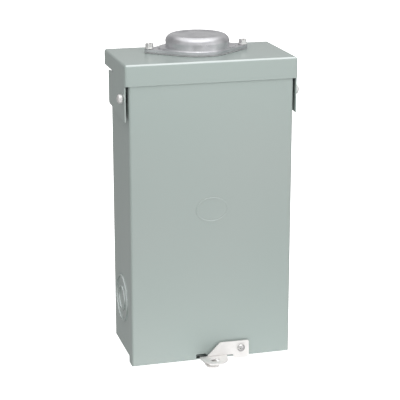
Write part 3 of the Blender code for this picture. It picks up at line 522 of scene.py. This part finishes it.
def slab(mesh, low, high):
    """Adds a box between two corners."""
    made = bmesh.ops.create_cube(mesh, size=1.0)["verts"]
    for vertex in made:
        for i in range(3):
            vertex.co[i] = low[i] + (vertex.co[i] + 0.5) * (high[i] - low[i])
    return made


def carved(body, cutter):
    """The first mesh less the second, as a new mesh."""
    helpers = []
    for mesh in (body, cutter):
        bmesh.ops.recalc_face_normals(mesh, faces=mesh.faces)
        data = bpy.data.meshes.new("helper")
        mesh.to_mesh(data)
        mesh.free()
        helpers.append(bpy.data.objects.new("helper", data))
        bpy.context.scene.collection.objects.link(helpers[-1])
    cut = helpers[0].modifiers.new("cut", "BOOLEAN")
    cut.operation = "DIFFERENCE"
    cut.solver = "EXACT"
    cut.object = helpers[1]
    shape = helpers[0].evaluated_get(bpy.context.evaluated_depsgraph_get())
    made = bmesh.new()
    made.from_mesh(shape.to_mesh())
    shape.to_mesh_clear()
    for helper in helpers:
        data = helper.data
        bpy.data.objects.remove(helper)
        bpy.data.meshes.remove(data)
    return made


# ---- Terminal screws on the neutral and ground bars ---------------------------------------------
BARS = (("neutral_bar", 10), ("ground_bar", 6))
BAR_END = 0.006  # from a bar's end to its first screw
SCREW_RADIUS = 0.0034
SCREW_HEAD = 0.0022
CROWN = ((0.55, 0.05), (0.88, 0.22), (1.0, 0.48))  # shares of the head's radius and height
SLOT_DEPTH = SCREW_HEAD * 0.5
SLOT_HALF_WIDTH = SCREW_RADIUS * 0.17
SLOT_REACH = SCREW_RADIUS * 1.2
SHANK_RADIUS = 0.0017
SHANK_REACH = 0.0030
SCREW_STEP = 0.0005  # one screw stands this much further out than another, or twice as much
FIRST_TURN, TURN_STEP = 23, 47  # degrees, so that no two slots in a row line up


def slotted_screw(centre, seat, turn):
    """A crowned screw head facing -Y with a real slot, on its shank."""
    mesh = bmesh.new()
    top = seat - SCREW_HEAD
    profile = [(0, top)]
    profile += [(SCREW_RADIUS * out, top + SCREW_HEAD * down) for out, down in CROWN]
    profile += [(SCREW_RADIUS, seat), (SHANK_RADIUS, seat)]
    profile += [(SHANK_RADIUS, seat + SHANK_REACH), (0, seat + SHANK_REACH)]
    lathe(mesh, profile, "Y", centre, steps=24)
    slot = bmesh.new()
    low = (-SLOT_REACH, top - SCREW_HEAD, -SLOT_HALF_WIDTH)
    corners = slab(slot, low, (SLOT_REACH, top + SLOT_DEPTH, SLOT_HALF_WIDTH))
    spin = Matrix.Rotation(turn, 3, "Y")
    for vertex in corners:
        vertex.co = spin @ vertex.co
        vertex.co += Vector((centre[0], 0, centre[1]))
    return carved(mesh, slot)


def bar_screws():
    """One screw for each wire hole, standing at slightly different heights and turns."""
    for bar, count in BARS:
        low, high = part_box(bar)
        x = (low.x + high.x) / 2
        for i in range(count):
            z = low.z + BAR_END + i * (high.z - low.z - 2 * BAR_END) / (count - 1)
            seat = low.y - SCREW_STEP * (1 + (i * 7) % 3)
            mesh = slotted_screw((x, z), seat, radians(FIRST_TURN + TURN_STEP * i))
            piece(f"{bar}_terminal_screw_{i + 1}", mesh, zinc(), "root")


bar_screws()

# ---- Marks and mouldings on the breakers ---------------------------------------------------------
BREAKERS = 4
LIFT = 0.0001  # how far paint stands off what it is on, and what is fixed to a face goes into it
WELL_Z = -0.0070  # the middle of the handles' wells
WELL_HALF_WIDTH = 0.0048
WELL_HALF_HEIGHT = 0.0105
RIM_WIDTH = 0.0007
RIM_RISE = 0.0003
MARK_Z = 0.0152  # from a well's middle to each mark
MARK_RADIUS = 0.0021
MARK_INSIDE = 0.0014
BAR_HALF_WIDTH = 0.0004
CUT = 0.001  # how far a cutter passes the face that it cuts


def upright_slab(x, z, half_width, half_height, back, front):
    """A new mesh of one box, centred at x, z, between two depths."""
    mesh = bmesh.new()
    slab(mesh, (x - half_width, front, z - half_height), (x + half_width, back, z + half_height))
    return mesh


def breaker_marks(number):
    """A moulded rim around the handle's well, and the plain I and O of its two positions."""
    name = f"breaker_{number}"
    low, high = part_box(f"{name}_case")
    x = (low.x + high.x) / 2
    nose = low.y
    outside = (WELL_HALF_WIDTH + RIM_WIDTH, WELL_HALF_HEIGHT + RIM_WIDTH)
    rim = upright_slab(x, WELL_Z, *outside, nose + RIM_RISE, nose - RIM_RISE)
    inside = upright_slab(x, WELL_Z, WELL_HALF_WIDTH, WELL_HALF_HEIGHT, nose + CUT, nose - CUT)
    piece(f"{name}_well_rim", carved(rim, inside), phenolic(), "root")
    back, front = nose + LIFT, nose - LIFT
    bar = upright_slab(x, WELL_Z + MARK_Z, BAR_HALF_WIDTH, MARK_RADIUS, back, front)
    piece(f"{name}_on_mark", bar, paint_mark(), "root")
    ring = bmesh.new()
    profile = [(MARK_RADIUS, front), (MARK_RADIUS, back), (MARK_INSIDE, back), (MARK_INSIDE, front)]
    lathe(ring, [*profile, profile[0]], "Y", (x, WELL_Z - MARK_Z), steps=28)
    bmesh.ops.remove_doubles(ring, verts=ring.verts, dist=0.000001)
    piece(f"{name}_off_mark", ring, paint_mark(), "root")


for number in range(1, BREAKERS + 1):
    breaker_marks(number)

# ---- Deadfront details --------------------------------------------------------------------------
WINDOW_HALF_WIDTH = 0.0518  # the breakers' window, which is level with their wells
WINDOW_HALF_HEIGHT = 0.0234
BEAD_WIDTH = 0.0018
BEAD_RISE = 0.0006
BEAD_ROUNDING = BEAD_RISE * 0.7
RIBS_Z = (-0.0640, -0.0880, -0.1360)
RIB_HALF_LENGTH = 0.0560
RIB_HALF_WIDTH = 0.0016
RIB_RISE = 0.0007
RIB_ROUNDING = 0.0006
PIP_Z = WELL_Z - 0.0315
PIP_PITCH = 0.0036
PIP = ((0, -0.0005), (0.0007, -0.0004), (0.0011, LIFT))  # radius, and depth from the face


def window_bead(face):
    """A raised bead just outside the breakers' window."""
    outside = (WINDOW_HALF_WIDTH + BEAD_WIDTH, WINDOW_HALF_HEIGHT + BEAD_WIDTH)
    outer = upright_slab(0, WELL_Z, *outside, face + LIFT, face - BEAD_RISE)
    inside = (WINDOW_HALF_WIDTH, WINDOW_HALF_HEIGHT)
    inner = upright_slab(0, WELL_Z, *inside, face + CUT, face - CUT)
    rounded(piece("deadfront_window_bead", carved(outer, inner), enamel(), "root"), BEAD_ROUNDING)


def stiffening_ribs(face):
    """Three pressed ribs across the deadfront, below the window."""
    for row, z in enumerate(RIBS_Z):
        rib = upright_slab(0, z, RIB_HALF_LENGTH, RIB_HALF_WIDTH, face + LIFT, face - RIB_RISE)
        rounded(piece(f"deadfront_rib_{row + 1}", rib, enamel(), "root"), RIB_ROUNDING)


def circuit_pips(face, count):
    """As many painted pips under a breaker as its circuit's number."""
    case_low, case_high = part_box(f"breaker_{count}_case")
    middle = (case_low.x + case_high.x) / 2
    profile = [(radius, face + depth) for radius, depth in PIP]
    pips = bmesh.new()
    for k in range(count):
        x = middle + (k - (count - 1) / 2) * PIP_PITCH
        lathe(pips, profile, "Y", (x, PIP_Z), steps=16)
    piece(f"circuit_{count}_pips", pips, paint_mark(), "root")


deadfront_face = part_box("deadfront")[0].y
window_bead(deadfront_face)
stiffening_ribs(deadfront_face)
for number in range(1, BREAKERS + 1):
    circuit_pips(deadfront_face, number)

# ---- Directory card -----------------------------------------------------------------------------
COVER_DEPTH = 0.0151  # from the rear edge of the cover's flanges to the inside of its face
CARD_HALF_WIDTH = 0.0520
CARD_BOTTOM, CARD_TOP = -0.0600, 0.0700
CARD_THICKNESS = 0.0004
CARD_CORNER = 0.0030
CARD_MARGIN = 0.0050
CARD_HEAD = 0.0180  # left above the table for its title
CARD_ROWS = 8
NUMBER_COLUMN = 0.0110
INK_DEPTH, INK_RISE = 0.00005, 0.00008
THICK_RULE, THIN_RULE, UPRIGHT_RULE = 0.00045, 0.00022, 0.00025  # half the widths
TITLE_INDENT, TITLE_UP, TITLE_RULE = 0.0220, 0.0070, 0.0006


def card_sheet(face):
    """The card itself, with round corners."""
    sheet = upright_slab(
        0,
        (CARD_BOTTOM + CARD_TOP) / 2,
        CARD_HALF_WIDTH,
        (CARD_TOP - CARD_BOTTOM) / 2,
        face + CARD_THICKNESS,
        face,
    )
    corners = [edge for edge in sheet.edges if edge.verts[0].co.y != edge.verts[1].co.y]
    bmesh.ops.bevel(
        sheet, geom=corners, offset=CARD_CORNER, segments=4, profile=0.5, affect="EDGES"
    )
    piece("directory_card", sheet, card(), "cover")


def card_rules(front):
    """A table of two numbered columns, with nothing in it, and a line for its title."""
    rules = bmesh.new()

    def rule(x0, x1, z0, z1):
        slab(rules, (x0, front - INK_DEPTH, z0), (x1, front + INK_RISE, z1))

    side = CARD_HALF_WIDTH - CARD_MARGIN
    bottom, head = CARD_BOTTOM + CARD_MARGIN, CARD_TOP - CARD_HEAD
    for i in range(CARD_ROWS + 1):
        z = bottom + i * (head - bottom) / CARD_ROWS
        weight = THICK_RULE if i in (0, CARD_ROWS) else THIN_RULE
        rule(-side, side, z - weight, z + weight)
    for x in (-side, -side + NUMBER_COLUMN, 0.0, NUMBER_COLUMN, side):
        rule(x - UPRIGHT_RULE, x + UPRIGHT_RULE, bottom, head)
    title, title_side = head + TITLE_UP, CARD_HALF_WIDTH - TITLE_INDENT
    rule(-title_side, title_side, title, title + TITLE_RULE)
    piece("directory_card_rules", rules, ink(), "cover")


def directory_card():
    """A blank ruled card on the inside of the cover, for the circuits' names."""
    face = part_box("front_cover")[1].y - COVER_DEPTH
    card_sheet(face)
    card_rules(face + CARD_THICKNESS)


directory_card()

# ---- Studio -------------------------------------------------------------------------------------
FLOOR_GAP = 0.002  # between the object and the floor
FLOOR_RADIUS = 2.4
SWEEP = 0.8  # radius of the bend from the floor to the wall
SWEEP_STEPS = 12
WALL_TOP = 4.8


def studio():
    """A plain white floor that sweeps up into a wall all round, under soft light."""
    low = cad_box[0][2] - FLOOR_GAP
    profile = [(0, low), (FLOOR_RADIUS, low)]
    for step in range(1, SWEEP_STEPS + 1):
        angle = step / SWEEP_STEPS * pi / 2
        profile.append((FLOOR_RADIUS + SWEEP * sin(angle), low + SWEEP * (1 - cos(angle))))
    profile.append((FLOOR_RADIUS + SWEEP, low + WALL_TOP))
    mesh = bmesh.new()
    lathe(mesh, profile, "Z", (0, 0), steps=64)
    data = bpy.data.meshes.new("backdrop")
    mesh.to_mesh(data)
    mesh.free()
    backdrop = bpy.data.objects.new("backdrop", data)
    bpy.context.scene.collection.objects.link(backdrop)
    paper = Shader("backdrop_paper")
    glow = {"Emission_Color": grey(1.0), "Emission_Strength": 0.9}
    data.materials.append(paper.set(Base_Color=grey(0.9), Roughness=0.9, **glow))
    backdrop.visible_diffuse = False
    backdrop.visible_glossy = False
    backdrop.visible_shadow = False


def softbox(name, place, aim, size, power, glossy=True):
    """A rectangular lamp, turned to its aim. Without glossy, no surface mirrors it."""
    data = bpy.data.lights.new(name, "AREA")
    data.shape = "RECTANGLE"
    data.size = size[0]
    data.size_y = size[1]
    data.energy = power
    lamp = bpy.data.objects.new(name, data)
    lamp.location = place
    lamp.rotation_euler = (Vector(aim) - Vector(place)).to_track_quat("-Z", "Y").to_euler()
    lamp.visible_glossy = glossy
    bpy.context.scene.collection.objects.link(lamp)


ROOM_DARK = 0.345  # at the sides and below
ROOM_AHEAD = 0.675
ROOM_BEHIND = 0.17  # added behind, above the floor and to the right
ROOM_ABOVE = 0.85  # added overhead
DARK_CARD = Vector((-0.247, -0.913, -0.29)).normalized()  # the way to its middle
CARD_COSINES, CARD_LEVELS = (0.935, 0.968), (1.0, 0.42)
HALO_COSINES, HALO_LEVELS = (0.78, 0.88), (1.0, 1.35)


def surroundings():
    """The light room: pale ahead and overhead, greyer round the sides, with a dark card in front
    at the lower left that has a brighter ring around it."""
    world = bpy.data.worlds.new("light_room")
    bpy.context.scene.world = world
    world.use_nodes = True
    tree = world.node_tree
    place = tree.nodes.new("ShaderNodeTexCoord").outputs["Generated"]
    split = tree.nodes.new("ShaderNodeSeparateXYZ")
    tree.links.new(place, split.inputs["Vector"])

    def zone(value, start, end, low, high):
        made = tree.nodes.new("ShaderNodeMapRange")
        made.interpolation_type = "SMOOTHSTEP"
        tree.links.new(value, made.inputs["Value"])
        levels = {"From Min": start, "From Max": end, "To Min": low, "To Max": high}
        for key, level in levels.items():
            made.inputs[key].default_value = level
        return made.outputs["Result"]

    def combined(operation, first, second):
        made = tree.nodes.new("ShaderNodeMath")
        made.operation = operation
        tree.links.new(first, made.inputs[0])
        tree.links.new(second, made.inputs[1])
        return made.outputs["Value"]

    # Each zone fades from one value to another of where a direction points.
    ahead = zone(split.outputs["Y"], 0.25, -0.45, ROOM_DARK, ROOM_AHEAD)
    behind = zone(split.outputs["Y"], 0.15, 0.60, 0.0, ROOM_BEHIND)
    behind = combined("MULTIPLY", behind, zone(split.outputs["Z"], -0.05, 0.15, 0.0, 1.0))
    behind = combined("MULTIPLY", behind, zone(split.outputs["X"], -0.35, 0.10, 0.0, 1.0))
    above = zone(split.outputs["Z"], 0.60, 0.90, 0.0, ROOM_ABOVE)
    toward = tree.nodes.new("ShaderNodeVectorMath")
    toward.operation = "DOT_PRODUCT"
    tree.links.new(place, toward.inputs[0])
    toward.inputs[1].default_value = DARK_CARD
    card_shade = zone(toward.outputs["Value"], *CARD_COSINES, *CARD_LEVELS)
    halo = zone(toward.outputs["Value"], *HALO_COSINES, *HALO_LEVELS)
    room = combined("ADD", combined("ADD", ahead, behind), above)
    whole = combined("MULTIPLY", room, combined("MULTIPLY", card_shade, halo))
    out = tree.nodes["Background"]
    tree.links.new(whole, out.inputs["Strength"])
    out.inputs["Color"].default_value = grey(1.0)


studio()
surroundings()
softbox("key", (1.1, -1.6, 0.5), (0, 0, 0), (1.1, 1.3), 1.5)
softbox("floor bounce", (0.0, -0.27, -0.33), (0, -0.10, -0.15), (0.5, 0.15), 0.58, glossy=False)
softbox("overhead", (0.1, -0.55, 1.45), (0, -0.05, 0.15), (1.3, 0.6), 1.5)
softbox("top front", (0.0, -0.30, 0.26), (0, -0.10, 0.12), (0.5, 0.15), 0.33, glossy=False)

# ---- Camera, at the place fitted to the photo ----------------------------------------------------
CAMERA_PLACE = Vector((-0.3985, -1.4963, 0.4327))
CAMERA_AIM = Vector((0.00043, -0.0504, -0.0003))
FOCAL_LENGTH_MM = 126.42
SENSOR_WIDTH_MM = 36.0

lens = bpy.data.cameras.new("camera")
lens.sensor_width = SENSOR_WIDTH_MM
lens.lens = FOCAL_LENGTH_MM
camera = bpy.data.objects.new("camera", lens)
camera.location = CAMERA_PLACE
camera.rotation_euler = (CAMERA_AIM - CAMERA_PLACE).to_track_quat("-Z", "Y").to_euler()
bpy.context.scene.collection.objects.link(camera)
bpy.context.scene.camera = camera
bpy.context.scene.view_settings.view_transform = "Standard"
